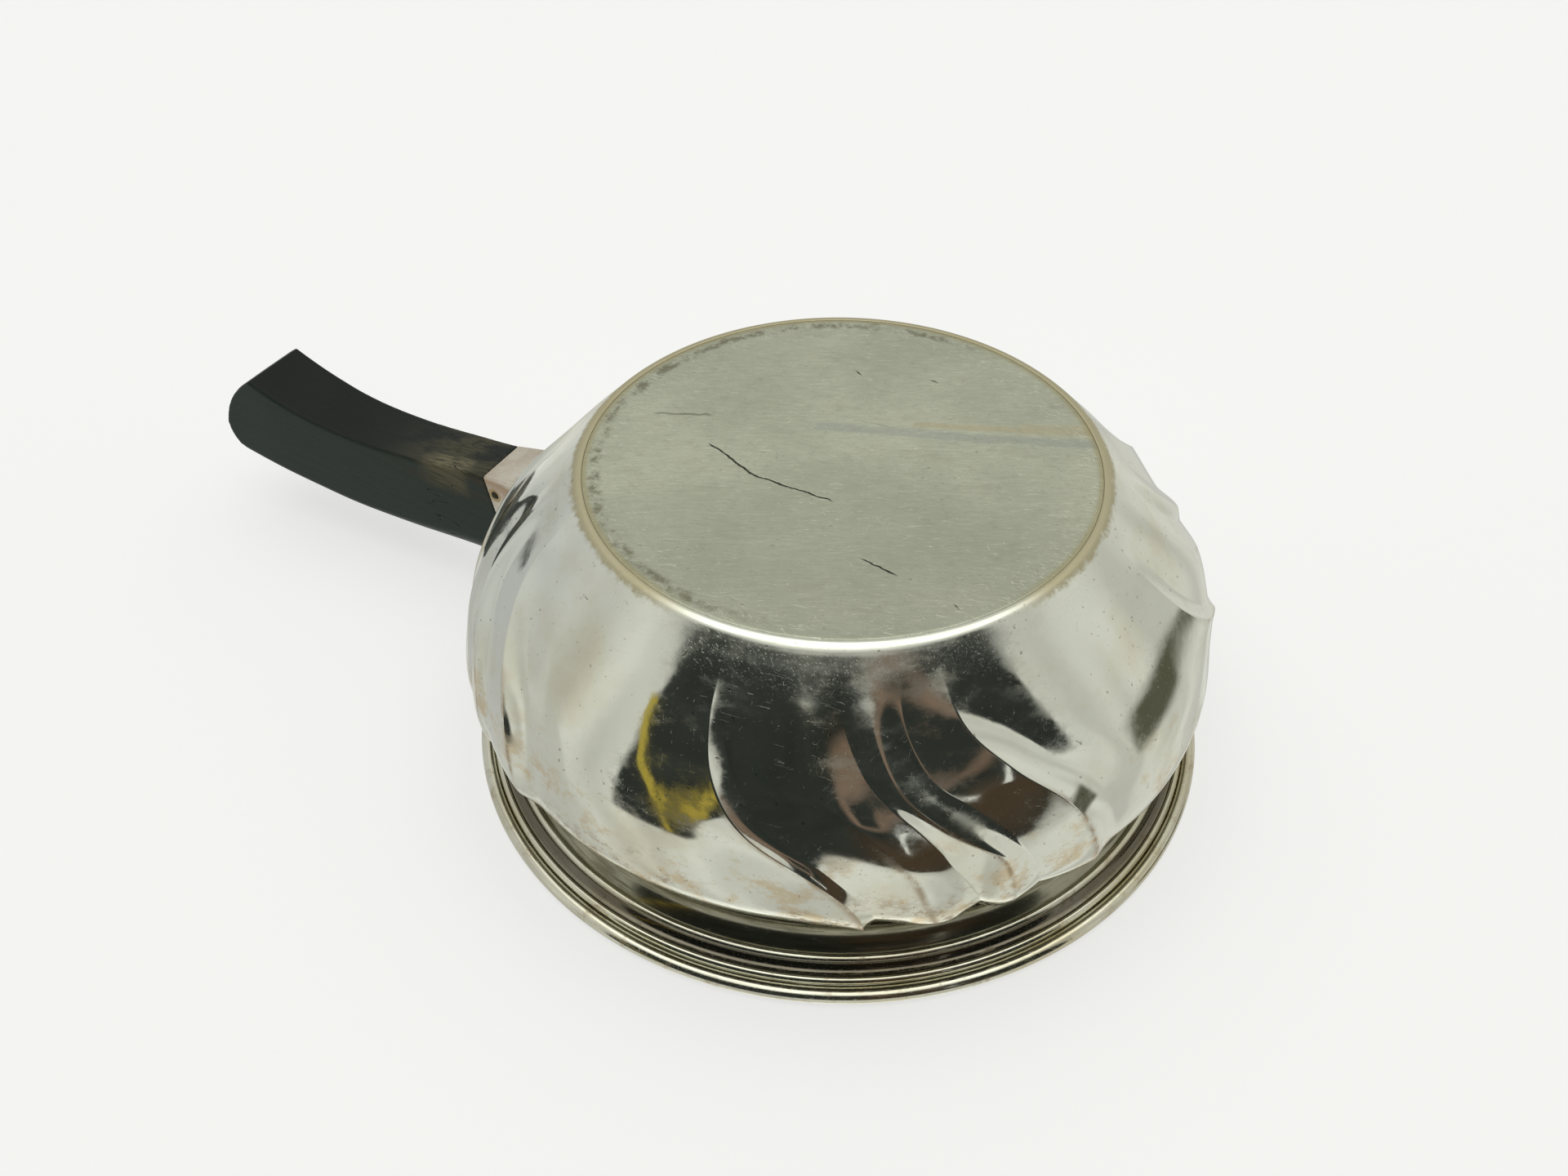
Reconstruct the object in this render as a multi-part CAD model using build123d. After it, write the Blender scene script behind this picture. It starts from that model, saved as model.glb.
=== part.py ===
from build123d import *
import math
import os

os.makedirs("parts", exist_ok=True)

# A round, fluted silver sauce boat with one straight side handle of black wood.
# Millimetres and degrees. Origin: centre of the resting face, +Z up, the handle towards -X.

# Vessel
SHEET = 1.0              # thickness of the raised silver sheet
PLATE_THICKNESS = 1.0    # the bottom disc, soldered in flush with the foot of the wall
SEAM_HEIGHT = 41.5       # solder joint between the fluted bowl and the neck, under the shoulder

# Outer face of the wall as (height, radius). The first point lies below the resting face, on
# the line of the wall, so that the sheet runs on past the level where it is cut off.
WALL_OUTLINE = [
    (-3.0, 40.6),
    (1.0, 44.0),
    (9.9, 52.3),
    (17.7, 58.6),
    (24.5, 62.0),
    (31.0, 63.4),
    (35.2, 63.6),
    (38.0, 62.4),
    (41.5, 59.8),
    (45.0, 57.3),
    (48.2, 56.7),
    (51.0, 57.9),
    (53.2, 60.2),
    (54.7, 62.3),
    (55.4, 63.6),
]

# Flutes: four equal groups of swirled ridges with smooth panels between them.
GROUPS = 4
RIDGE_TIPS = [59.0, 42.0, 32.9, 23.7]     # azimuth of each ridge where it ends on the shoulder
RIDGE_HEIGHTS = [1.1, 1.0, 1.4, 1.4]
FLUTE_DEPTHS = [1.5, 1.1, 1.5]            # scoops between neighbouring ridges
FLUTE_SHARPNESS = 1.25                    # 1 makes knife-edged ridges, 2 makes round ones
LEAD_WIDTH = 9.0                          # how far the panel rises to the first ridge
TRAIL_WIDTH = 12.0                        # the soft last flute beside the fourth ridge
TRAIL_DEPTH = 0.4
SWIRL = (23.8, 37.2, 26.0)                # turn, height where it starts, height that it takes
LAST_SWIRL = (20.8, 33.8, 30.5)           # the fourth ridge leans later and longer
FLUTE_START = 2.5                         # flutes fade in above this height
FLUTE_FULL = 12.5
SCOOP_FADE = (27.0, 38.0, 0.35)           # scoops grow shallow towards the shoulder
RIDGE_FADE = (36.0, 41.0)                 # ridges die out under the shoulder

SPAN_POINTS = [8, 12, 8, 10, 8, 14]       # points from the panel over each ridge and back
SECTIONS_PER_SPAN = 4

# Mouth
WIRE_RADIUS = 1.35
WIRE_CENTRE = (63.65, 55.35)              # radius and height of the rim wire's section

# Handle: its upright sections as (distance from the vessel's axis, underside, top, width,
# top corner radius). The first and last lie past the joint and the tip, where it is cut off.
WOOD_SECTIONS = [
    (58.0, 24.2, 48.4, 10.6, 5.0),
    (72.9, 27.1, 48.6, 11.3, 5.3),
    (86.0, 28.7, 48.3, 12.0, 4.0),
    (100.0, 29.6, 47.5, 12.8, 2.2),
    (112.0, 28.9, 46.6, 13.4, 1.5),
    (122.0, 26.8, 45.4, 14.0, 1.4),
    (130.0, 23.9, 44.1, 14.4, 1.4),
    (142.0, 18.6, 41.4, 15.0, 1.4),
]
UNDER_ROUND = 0.5                         # the crisp lower edges
NOSE = [(129.9, 23.9), (135.7, 29.2), (139.1, 36.4), (138.1, 40.3), (133.6, 43.4)]

# Socket and joint
JOINT_FOOT = (72.9, 27.1)                 # lowest point where the wood meets the socket
JOINT_HEIGHT = 22.2
JOINT_TILT = 12.0                         # the joint leans towards the bowl
SOCKET_SLOPE = 9.0                        # the socket drops towards the bowl, as the wood does
SOCKET_FLARE = (1.24, 1.06)               # how much its width and height grow towards the bowl
SOCKET_REACH = 16.0
SOCKET_WALL = 0.9
TENON_LENGTH = 5.6
PIN_RADIUS = 0.8
PIN_INSET = 1.8                           # from the joint, and up from its foot
PIN_RISE = 3.8


def smooth_step(value):
    """0 below 0, 1 above 1, and a smooth S between."""
    value = min(1.0, max(0.0, value))
    return value * value * (3.0 - 2.0 * value)


def curve_point(points, t):
    """A point on a smooth curve through the given points; t counts them from 0."""
    last = len(points) - 1
    i = min(max(int(math.floor(t)), 0), last - 1)
    u = t - i
    length = math.dist(points[i], points[i + 1])
    slopes = []
    for j in (i, i + 1):
        before = points[max(j - 1, 0)]
        after = points[min(j + 1, last)]
        span = math.dist(before, points[j]) + math.dist(points[j], after)
        slopes.append([(b - a) / span * length for a, b in zip(before, after)])
    h = (2 * u**3 - 3 * u**2 + 1, u**3 - 2 * u**2 + u, 3 * u**2 - 2 * u**3, u**3 - u**2)
    ends = zip(points[i], slopes[0], points[i + 1], slopes[1])
    return [h[0] * p + h[1] * m + h[2] * q + h[3] * n for p, m, q, n in ends]


def curve_direction(points, t):
    """Unit direction of that curve at t."""
    step = 1e-3
    before = curve_point(points, t - step)
    after = curve_point(points, t + step)
    length = math.dist(before, after)
    return [(b - a) / length for a, b in zip(before, after)]


def wall_point(t, depth=0.0):
    """(height, radius) of the plain wall, depth below its outer face."""
    height, radius = curve_point(WALL_OUTLINE, t)
    along_height, along_radius = curve_direction(WALL_OUTLINE, t)
    return height + along_radius * depth, radius - along_height * depth


def swirl(height, turn_start_span):
    """Degrees that a ridge has turned at this height, counted from its tip."""
    turn, start, span = turn_start_span
    return turn * smooth_step((start - height) / span)


def ridge_angles(height):
    """Azimuths of one group's ridges at this height, largest first."""
    ridges = [tip + swirl(height, SWIRL) for tip in RIDGE_TIPS[:-1]]
    ridges.append(RIDGE_TIPS[-1] + swirl(height, LAST_SWIRL))
    return ridges


def relief(azimuth, height):
    """How far the fluted wall stands out from the plain wall."""
    fade_in = smooth_step((height - FLUTE_START) / (FLUTE_FULL - FLUTE_START))
    ridge_end = 1.0 - smooth_step((height - RIDGE_FADE[0]) / (RIDGE_FADE[1] - RIDGE_FADE[0]))
    start, end, kept = SCOOP_FADE
    scoop_end = 1.0 - (1.0 - kept) * smooth_step((height - start) / (end - start))
    ridge_scale = fade_in * ridge_end
    scoop_scale = ridge_scale * scoop_end

    ridges = ridge_angles(height)
    pitch = 360.0 / GROUPS
    middle = (ridges[0] + ridges[-1]) / 2.0
    angle = middle + (azimuth - middle + pitch / 2.0) % pitch - pitch / 2.0

    if angle >= ridges[0]:
        rest = max(0.0, 1.0 - (angle - ridges[0]) / LEAD_WIDTH)
        return ridge_scale * RIDGE_HEIGHTS[0] * rest**2
    if angle <= ridges[-1]:
        share = min(1.0, (ridges[-1] - angle) / TRAIL_WIDTH)
        hollow = TRAIL_DEPTH * math.sin(math.pi * share)
        return ridge_scale * RIDGE_HEIGHTS[-1] * (1.0 - share) ** 2 - scoop_scale * hollow
    for i, depth in enumerate(FLUTE_DEPTHS):
        if angle >= ridges[i + 1]:
            share = (ridges[i] - angle) / (ridges[i] - ridges[i + 1])
            crest = RIDGE_HEIGHTS[i] * (1.0 - share) + RIDGE_HEIGHTS[i + 1] * share
            scoop = depth * math.sin(math.pi * share) ** FLUTE_SHARPNESS
            return ridge_scale * crest - scoop_scale * scoop


def section_angles(height):
    """Azimuths round the wall, with fixed places in the list for every ridge."""
    ridges = ridge_angles(height)
    marks = [ridges[0] + LEAD_WIDTH] + ridges + [ridges[-1] - TRAIL_WIDTH]
    marks.append(marks[0] - 360.0 / GROUPS)
    angles = []
    for group in range(GROUPS):
        for high, low, count in zip(marks, marks[1:], SPAN_POINTS):
            for k in range(count):
                angles.append(high + (low - high) * k / count - 360.0 * group / GROUPS)
    return angles


def fluted_section(t, depth):
    """Closed horizontal section of the fluted wall, depth below its outer face."""
    outer_height = wall_point(t)[0]
    height, radius = wall_point(t, depth)
    points = []
    for azimuth in section_angles(outer_height):
        reach = radius + relief(azimuth, outer_height)
        angle = math.radians(azimuth)
        points.append((reach * math.cos(angle), reach * math.sin(angle), height))
    knots = [k / len(points) for k in range(len(points) + 1)]
    return Wire([Edge.make_spline(points, periodic=True, parameters=knots)])


def fluted_solid(first, last, depth):
    """Solid inside the fluted wall between two places on the outline."""
    count = round((last - first) * SECTIONS_PER_SPAN)
    places = [first + (last - first) * k / count for k in range(count + 1)]
    return Solid.make_loft([fluted_section(t, depth) for t in places])


def outline_edge(first, last, depth):
    """The wall's outline as a curve in the XZ plane, depth below its outer face."""
    count = round((last - first) * 2)
    places = [first + (last - first) * k / count for k in range(count + 1)]
    points = [wall_point(t, depth) for t in places]
    return Edge.make_spline([(radius, 0, height) for height, radius in points])


def turned(edges):
    """Ring made by turning a closed outline in the XZ plane about Z."""
    return revolve(Face(Wire(edges)), Axis.Z, 360)


def slab(low, high):
    """A wide flat block between two heights."""
    size = 4 * WIRE_CENTRE[0]
    return Pos(0, 0, (low + high) / 2) * Box(size, size, high - low)


# Bowl: a fluted shell whose lower edge is the ring that the vessel stands on
seam_place = next(i for i, p in enumerate(WALL_OUTLINE) if p[0] == SEAM_HEIGHT)
bowl_core = fluted_solid(0.0, seam_place + 1.25, SHEET)
bowl = (fluted_solid(0.25, seam_place + 1, 0.0) - bowl_core) & slab(0, SEAM_HEIGHT)
export_step(bowl, "parts/fluted_bowl.step")

# Bottom plate: a disc let into the foot of the wall, flush with its edge
plate = bowl_core & slab(0, PLATE_THICKNESS)
export_step(plate, "parts/base_plate.step")

# Rim wire: a round ring along the mouth
wire_radius, wire_height = WIRE_CENTRE
rim_wire = Pos(0, 0, wire_height) * Torus(wire_radius, WIRE_RADIUS)
export_step(rim_wire, "parts/rim_wire.step")

# Neck: smooth ring that draws in above the shoulder and flares out to the rim wire
lip_place = len(WALL_OUTLINE) - 1
neck_outside = outline_edge(seam_place - 1, lip_place, 0.0)
neck_inside = outline_edge(seam_place - 1, lip_place, SHEET)
neck_strip = turned([
    neck_outside,
    Edge.make_line(neck_outside @ 1, neck_inside @ 1),
    neck_inside,
    Edge.make_line(neck_inside @ 0, neck_outside @ 0),
])
neck = (neck_strip & slab(SEAM_HEIGHT, 2 * SEAM_HEIGHT)) - rim_wire
export_step(neck, "parts/neck_ring.step")

# Rim moulding: an edge, a cove and a bead, soldered under the flared lip
moulding = turned([
    Edge.make_line((58.3, 0, 51.9), (58.9, 0, 51.4)),
    Edge.make_line((58.9, 0, 51.4), (59.7, 0, 51.7)),
    Edge.make_three_point_arc((59.7, 0, 51.7), (60.2, 0, 52.9), (61.4, 0, 53.7)),
    Edge.make_three_point_arc((61.4, 0, 53.7), (62.05, 0, 53.35), (62.6, 0, 53.95)),
    Edge.make_line((62.6, 0, 53.95), (62.7, 0, 54.9)),
    Edge.make_line((62.7, 0, 54.9), (62.0, 0, 54.9)),
    Edge.make_line((62.0, 0, 54.9), (58.3, 0, 51.9)),
]) - neck_strip - rim_wire
export_step(moulding, "parts/rim_moulding.step")


def profile(width, height, top_round, bottom_round):
    """Upright oblong standing on y = 0, with its own radii on the top and bottom corners."""
    shape = Pos(0, height / 2) * Rectangle(width, height)
    shape = fillet(shape.vertices().sort_by(Axis.Y)[-2:], top_round)
    return fillet(shape.vertices().sort_by(Axis.Y)[:2], bottom_round)


def across(place, tilt_angle):
    """Plane across the handle: x runs sideways, y upwards and z away from the bowl."""
    angle = math.radians(tilt_angle)
    outward = (math.cos(angle), 0, math.sin(angle))
    return Plane(origin=(place[0], 0, place[1]), x_dir=(0, 1, 0), z_dir=outward)


# Handle stick: arched below, domed on top near the socket and square towards its tip
wood_faces = []
for distance, underside, top, width, top_round in WOOD_SECTIONS:
    shape = profile(width, top - underside, top_round, UNDER_ROUND)
    wood_faces.append(across((distance, underside), 0) * shape)
stick = loft(wood_faces)

# The tip slopes outwards from the underside and turns over into the top in one nose
nose = [(x, 0, z) for x, z in NOSE]
above = 2 * WOOD_SECTIONS[0][2]
side_view = Face(Wire([
    Edge.make_three_point_arc(nose[0], nose[1], nose[2]),
    Edge.make_three_point_arc(nose[2], nose[3], nose[4]),
    Edge.make_line(nose[4], (nose[4][0], 0, above)),
    Edge.make_line((nose[4][0], 0, above), (0, 0, above)),
    Edge.make_line((0, 0, above), (0, 0, 0)),
    Edge.make_line((0, 0, 0), (nose[0][0], 0, 0)),
    Edge.make_line((nose[0][0], 0, 0), nose[0]),
]))
stick = stick & extrude(side_view, WOOD_SECTIONS[-1][3], both=True)

# Joint between wood and socket
joint_plane = across(JOINT_FOOT, JOINT_TILT)
joint_width = WOOD_SECTIONS[1][3]
joint_round = WOOD_SECTIONS[1][4]
inward = joint_plane * Pos(0, 0, -50) * Box(200, 200, 100)
slope = math.radians(SOCKET_SLOPE)


def inset_place(distance, rise=0.0):
    """Point on the handle's underside or above it, this far inside the joint."""
    return (
        JOINT_FOOT[0] - math.cos(slope) * distance - math.sin(slope) * rise,
        JOINT_FOOT[1] - math.sin(slope) * distance + math.cos(slope) * rise,
    )


# Socket: a tapered ferrule that follows the wall it is soldered to
mouth = profile(joint_width, JOINT_HEIGHT, joint_round, UNDER_ROUND)
wider, taller = SOCKET_FLARE
root = profile(joint_width * wider, JOINT_HEIGHT * taller, joint_round, UNDER_ROUND)
socket_body = loft([joint_plane * mouth, across(inset_place(SOCKET_REACH), JOINT_TILT) * root])
hole = profile(
    joint_width - 2 * SOCKET_WALL,
    JOINT_HEIGHT - 3 * SOCKET_WALL,
    joint_round - SOCKET_WALL,
    UNDER_ROUND,
)
hole_plane = across(inset_place(TENON_LENGTH, 1.5 * SOCKET_WALL), SOCKET_SLOPE)
hole_run = hole_plane * extrude(hole, 4 * TENON_LENGTH)
vessel_core = turned([
    outline_edge(1, lip_place, 0.0),
    Edge.make_line((WALL_OUTLINE[-1][1], 0, WALL_OUTLINE[-1][0]), (0, 0, WALL_OUTLINE[-1][0])),
    Edge.make_line((0, 0, WALL_OUTLINE[-1][0]), (0, 0, WALL_OUTLINE[1][0])),
    Edge.make_line((0, 0, WALL_OUTLINE[1][0]), (WALL_OUTLINE[1][1], 0, WALL_OUTLINE[1][0])),
])
pin_place = inset_place(PIN_INSET, PIN_RISE)
pin_bore = Pos(pin_place[0], 0, pin_place[1]) * Rot(90, 0, 0) * Cylinder(PIN_RADIUS, 40)

pin = pin_bore & socket_body
tenon = hole_run & inward
wood = (stick - inward) + tenon - pin_bore
socket = socket_body - vessel_core - tenon - pin_bore

turn_to_side = Rot(0, 0, 180)
export_step(turn_to_side * socket, "parts/handle_socket.step")
export_step(turn_to_side * wood, "parts/wooden_handle.step")
export_step(turn_to_side * pin, "parts/handle_pin.step")
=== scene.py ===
import math

import bpy
import numpy as np
from mathutils import Matrix, Vector


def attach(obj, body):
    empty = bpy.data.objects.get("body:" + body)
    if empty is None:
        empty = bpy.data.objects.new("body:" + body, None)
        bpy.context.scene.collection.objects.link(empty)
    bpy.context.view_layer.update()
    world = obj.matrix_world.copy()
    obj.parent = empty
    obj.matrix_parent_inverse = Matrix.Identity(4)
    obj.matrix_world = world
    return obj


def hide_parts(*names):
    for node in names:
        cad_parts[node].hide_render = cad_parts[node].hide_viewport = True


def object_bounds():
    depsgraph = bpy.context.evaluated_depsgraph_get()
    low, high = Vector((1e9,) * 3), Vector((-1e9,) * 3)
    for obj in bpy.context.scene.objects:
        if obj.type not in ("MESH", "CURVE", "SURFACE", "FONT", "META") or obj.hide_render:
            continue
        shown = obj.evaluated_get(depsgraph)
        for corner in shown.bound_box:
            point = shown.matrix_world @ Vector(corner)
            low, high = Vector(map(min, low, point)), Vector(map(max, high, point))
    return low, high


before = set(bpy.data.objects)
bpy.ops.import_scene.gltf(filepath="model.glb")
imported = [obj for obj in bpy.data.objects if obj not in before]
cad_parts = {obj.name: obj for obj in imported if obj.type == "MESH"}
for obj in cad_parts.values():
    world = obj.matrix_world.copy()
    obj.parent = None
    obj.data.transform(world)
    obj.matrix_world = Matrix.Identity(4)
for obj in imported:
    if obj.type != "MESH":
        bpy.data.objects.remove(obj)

# A fluted silver sauce boat with a black wooden side handle. Shapes are worked out in
# millimetres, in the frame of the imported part, and turned into metres when a mesh is made.

CAD_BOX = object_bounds()
MM = 0.001


# ---------------------------------------------------------------- camera

# It looks up at the vessel from below, with its own up side turned down, so that the vessel is
# seen turned over and standing on its rim.
SENSOR_WIDTH = 36.0
FOCAL_LENGTH = 36.246
CLIP_START = 0.01
CAMERA_PLACE = Vector((0.09354, 0.18105, -0.15499))
CAMERA_RIGHT = Vector((0.8690, -0.4948, 0.0067)).normalized()
CAMERA_BACK = Vector((0.3722, 0.6447, -0.6676)).normalized()

camera_data = bpy.data.cameras.new("camera")
camera_data.sensor_width = SENSOR_WIDTH
camera_data.lens = FOCAL_LENGTH
camera_data.clip_start = CLIP_START
camera = bpy.data.objects.new("camera", camera_data)
bpy.context.scene.collection.objects.link(camera)
bpy.context.scene.camera = camera
camera_up = CAMERA_BACK.cross(CAMERA_RIGHT).normalized()
facing = Matrix((camera_up.cross(CAMERA_BACK), camera_up, CAMERA_BACK)).transposed()
camera.matrix_world = Matrix.Translation(CAMERA_PLACE) @ facing.to_4x4()


# ---------------------------------------------------------------- meshes

def new_piece(name, vertices, faces, stands_for):
    """A piece of the vessel, given in millimetres, that stands for one CAD node."""
    mesh = bpy.data.meshes.new(name)
    mesh.from_pydata((np.asarray(vertices) * MM).tolist(), [], faces)
    mesh.validate()
    piece = bpy.data.objects.new(name, mesh)
    bpy.context.scene.collection.objects.link(piece)
    mesh.polygons.foreach_set("use_smooth", [True] * len(mesh.polygons))
    mesh.update()
    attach(piece, "root")
    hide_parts(stands_for)
    return piece


def grid_faces(rows, columns):
    """Quads of a grid that closes on itself both round its columns and along its rows."""
    faces = []
    for i in range(rows):
        low = i * columns
        high = ((i + 1) % rows) * columns
        for j in range(columns):
            k = (j + 1) % columns
            faces.append((low + j, low + k, high + k, high + j))
    return faces


def smooth_step(value):
    """0 up to 0, 1 from 1 on, and smooth between them."""
    value = np.clip(value, 0.0, 1.0)
    return value * value * (3.0 - 2.0 * value)


def through(points, places):
    """Smooth curve through the given points; places count them from 0."""
    points = np.asarray(points, float)
    places = np.asarray(places, float)
    last = len(points) - 1
    i = np.clip(np.floor(places).astype(int), 0, last - 1)
    u = (places - i)[:, None]
    before = points[np.maximum(i - 1, 0)]
    start, end = points[i], points[i + 1]
    after = points[np.minimum(i + 2, last)]
    chord = np.linalg.norm(end - start, axis=1)[:, None]
    behind = np.linalg.norm(start - before, axis=1)[:, None]
    ahead = np.linalg.norm(after - end, axis=1)[:, None]
    out = (end - before) / (behind + chord) * chord
    into = (after - start) / (chord + ahead) * chord
    return (
        (2 * u**3 - 3 * u**2 + 1) * start + (u**3 - 2 * u**2 + u) * out
        + (3 * u**2 - 2 * u**3) * end + (u**3 - u**2) * into
    )


def even_curve(points, spacing):
    """Points at an even spacing along the smooth curve through the given points."""
    fine = through(points, np.linspace(0, len(points) - 1, 60 * len(points)))
    run = np.concatenate([[0], np.cumsum(np.linalg.norm(np.diff(fine, axis=0), axis=1))])
    count = max(2, int(round(run[-1] / spacing)) + 1)
    wanted = np.linspace(0, run[-1], count)
    return np.stack([np.interp(wanted, run, fine[:, k]) for k in range(fine.shape[1])], axis=1)


UNEVEN_WAVES = 14
MOST_WAVES_ROUND = 14
SHORTEST_WAVE_UP = 9.0


def unevenness(azimuth, height, size, seed):
    """Slow handmade waviness of a turned or raised surface, in millimetres."""
    draw = np.random.default_rng(seed)
    total = np.zeros(np.broadcast(azimuth, height).shape)
    for _ in range(UNEVEN_WAVES):
        round_count = draw.integers(1, MOST_WAVES_ROUND)
        up = draw.uniform(-1, 1) * 2 * math.pi / SHORTEST_WAVE_UP
        weight = draw.uniform(0.4, 1.0) / (1.0 + 0.25 * round_count)
        total = total + weight * np.sin(
            round_count * np.radians(azimuth) + up * height + draw.uniform(0, 6.28)
        )
    return size * total / 2.0


# ---------------------------------------------------------------- fluted bowl

SHEET = 1.0           # thickness of the silver
SEAM_HEIGHT = 41.5    # where the neck is soldered in under the shoulder
# Outer face of the wall and the neck, and the rounded foot, as (height, radius).
WALL_OUTLINE = [
    (-3.0, 40.6), (1.0, 44.0), (9.9, 52.3), (17.7, 58.6), (24.5, 62.0), (31.0, 63.4),
    (35.2, 63.6), (38.0, 62.4), (41.5, 59.4), (45.0, 57.2), (48.2, 56.7), (51.0, 57.9),
    (53.2, 60.2), (54.7, 62.3), (55.4, 63.6),
]
SEAM_PLACE = 8        # number of the seam's point in the outline
FOOT_OUTLINE = [(0.05, 41.90), (0.0, 42.1), (0.02, 42.6), (0.30, 43.25), (1.2, 44.19)]
FOOT_STEP, FACE_STEP, LINING_STEP = 0.16, 0.36, 0.8    # spacing of the rows of points
LINING_LOWEST = 1.0   # the lining starts on the bottom disc
WALL_WAVINESS = 0.07
WALL_SEED = 5

GROUPS = 4
# Lines that run up the wall in each group of flutes, in order round it: the azimuth of each at
# the course heights, and how far the wall stands out along it at the proud heights.
COURSE_HEIGHTS = (2, 9, 15, 21, 27, 34, 41.5)
PROUD_HEIGHTS = (3, 6, 11, 18, 26, 33, 36, 38.5, 41.5)
LINES = {
    "start": (
        (90, 90.5, 91.5, 88, 80, 72, 69),
        (0, 0, 0, 0, 0, 0, 0.1, 0.5, 0.6),
    ),
    "first_ridge": (
        (83.5, 83, 80.5, 75, 65.5, 59.5, 58),
        (0, 0.1, 0.6, 1.2, 1.25, 1.05, 1.3, 1.9, 2.0),
    ),
    "first_hollow": (
        (79.5, 79, 77, 72, 63, 57.5, 56.5),
        (0, -0.2, -0.25, 0.1, 0.35, 0.6, 0.4, 0, 0),
    ),
    "second_ridge": (
        (69, 68, 65.5, 58, 52.5, 50, 47.5),
        (0, 0, 0.2, 0.75, 1.0, 0.95, 1.2, 2.0, 2.2),
    ),
    "second_hollow": (
        (62.5, 61, 57.5, 51, 46.5, 43, 42),
        (0, -0.2, -0.4, -0.05, 0.3, 0.5, 0.1, -1.0, -0.6),
    ),
    "third_ridge": (
        (57.5, 56.5, 53.5, 47, 40, 38, 37.5),
        (0, 0, 0.35, 1.0, 1.15, 0.95, 1.1, 1.6, 1.8),
    ),
    "third_hollow": (
        (51.5, 51.5, 48.5, 41, 36.5, 34, 33.5),
        (0, -0.3, -0.55, -0.35, 0.1, 0.5, 0.3, -0.4, -0.3),
    ),
    "fourth_ridge": (
        (44.5, 42.5, 36.5, 30, 26.5, 24.5, 24),
        (0, 0.25, 0.8, 1.3, 1.4, 1.1, 1.2, 1.4, 1.5),
    ),
    "last_hollow": (
        (38, 35.5, 30.5, 24, 21, 19.5, 19),
        (0, -0.1, -0.3, -0.4, -0.35, -0.1, 0, 0.3, 0.5),
    ),
    "end": (
        (31, 28.5, 22.5, 15, 12, 11.5, 11),
        (0, 0, 0, 0, 0, 0, 0.1, 0.5, 0.6),
    ),
}
# Between two lines: points round the wall, then the steepness at the first and the second line,
# low on the wall and at the shoulder. 0 is rounded over and 2 is a sharp crease.
SPANS = [
    (22, (0.0, 2.3), (0.0, 2.0)),
    (14, (1.8, 0.3), (1.4, 0.6)),
    (28, (0.0, 0.2), (0.8, 0.0)),
    (18, (0.0, 0.8), (0.0, 2.6)),
    (16, (0.8, 0.2), (3.0, 0.0)),
    (16, (0.2, 0.2), (0.0, 1.8)),
    (22, (0.2, 1.5), (1.6, 0.3)),
    (16, (2.0, 0.0), (1.6, 0.0)),
    (18, (0.0, 0.0), (0.0, 0.0)),
    (24, (0.0, 0.0), (0.0, 0.0)),
]
RIDGES = (1, 3, 5, 7)
CREST_SHARPNESS = 5   # power by which the crest fades away from a ridge
ROW_CROWDING = 0.07   # draws the columns towards the lines


def course(places, values, heights):
    """Smooth curve through values given at a few heights, read at other heights."""
    known = np.stack([places, values], axis=1)
    fine = through(known, np.linspace(0, len(known) - 1, 40 * len(known)))
    return np.interp(heights, fine[:, 0], fine[:, 1])


def rise(share, slopes):
    """Goes from 0 to 1 with these steepnesses at its ends."""
    first, last = slopes
    return (
        (share**3 - 2 * share**2 + share) * first + (3 * share**2 - 2 * share**3)
        + (share**3 - share**2) * last
    )


def wall_sections(heights):
    """Azimuth of every column at these heights, with the number of its span and its share."""
    marks = [course(COURSE_HEIGHTS, path, heights) for path, _ in LINES.values()]
    marks.append(marks[0] - 360.0 / GROUPS)
    azimuths, spans, shares = [], [], []
    for group in range(GROUPS):
        for number, (count, _, _) in enumerate(SPANS):
            for k in range(count):
                share = k / count
                share -= ROW_CROWDING * math.sin(2 * math.pi * share)
                mark = marks[number] + (marks[number + 1] - marks[number]) * share
                azimuths.append(mark - 360.0 * group / GROUPS)
                spans.append(number)
                shares.append(share)
    return np.stack(azimuths, axis=1), np.array(spans), np.array(shares)


def fluting(spans, shares, heights):
    """How far the fluted wall stands out from the plain one, and how near it is to a ridge."""
    levels = [course(PROUD_HEIGHTS, proud, heights) for _, proud in LINES.values()]
    levels.append(levels[0])
    relief = np.zeros((len(heights), len(spans)))
    crest = np.zeros((len(heights), len(spans)))
    shoulder = smooth_step((heights - 24.0) / 10.0)[:, None]
    full = smooth_step((heights - 4.0) / 10.0)[:, None]
    for number, (_, low, high) in enumerate(SPANS):
        here = np.where(spans == number)[0]
        q = shares[here][None, :]
        share = rise(q, low) * (1 - shoulder) + rise(q, high) * shoulder
        first, last = levels[number][:, None], levels[number + 1][:, None]
        relief[:, here] = first + (last - first) * share
        near = (1 - q) ** CREST_SHARPNESS if number in RIDGES else 0 * q
        near = near + (q**CREST_SHARPNESS if number + 1 in RIDGES else 0 * q)
        crest[:, here] = near * full
    return relief, crest


def sheet_faces(first, last, count, depth):
    """Points of the outline between two places, and the same points at a depth under the face."""
    outer = through(WALL_OUTLINE, np.linspace(first, last, count))
    along = np.gradient(outer, axis=0)
    along /= np.linalg.norm(along, axis=1)[:, None]
    return outer, outer + depth * np.stack([along[:, 1], -along[:, 0]], axis=1)


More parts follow.
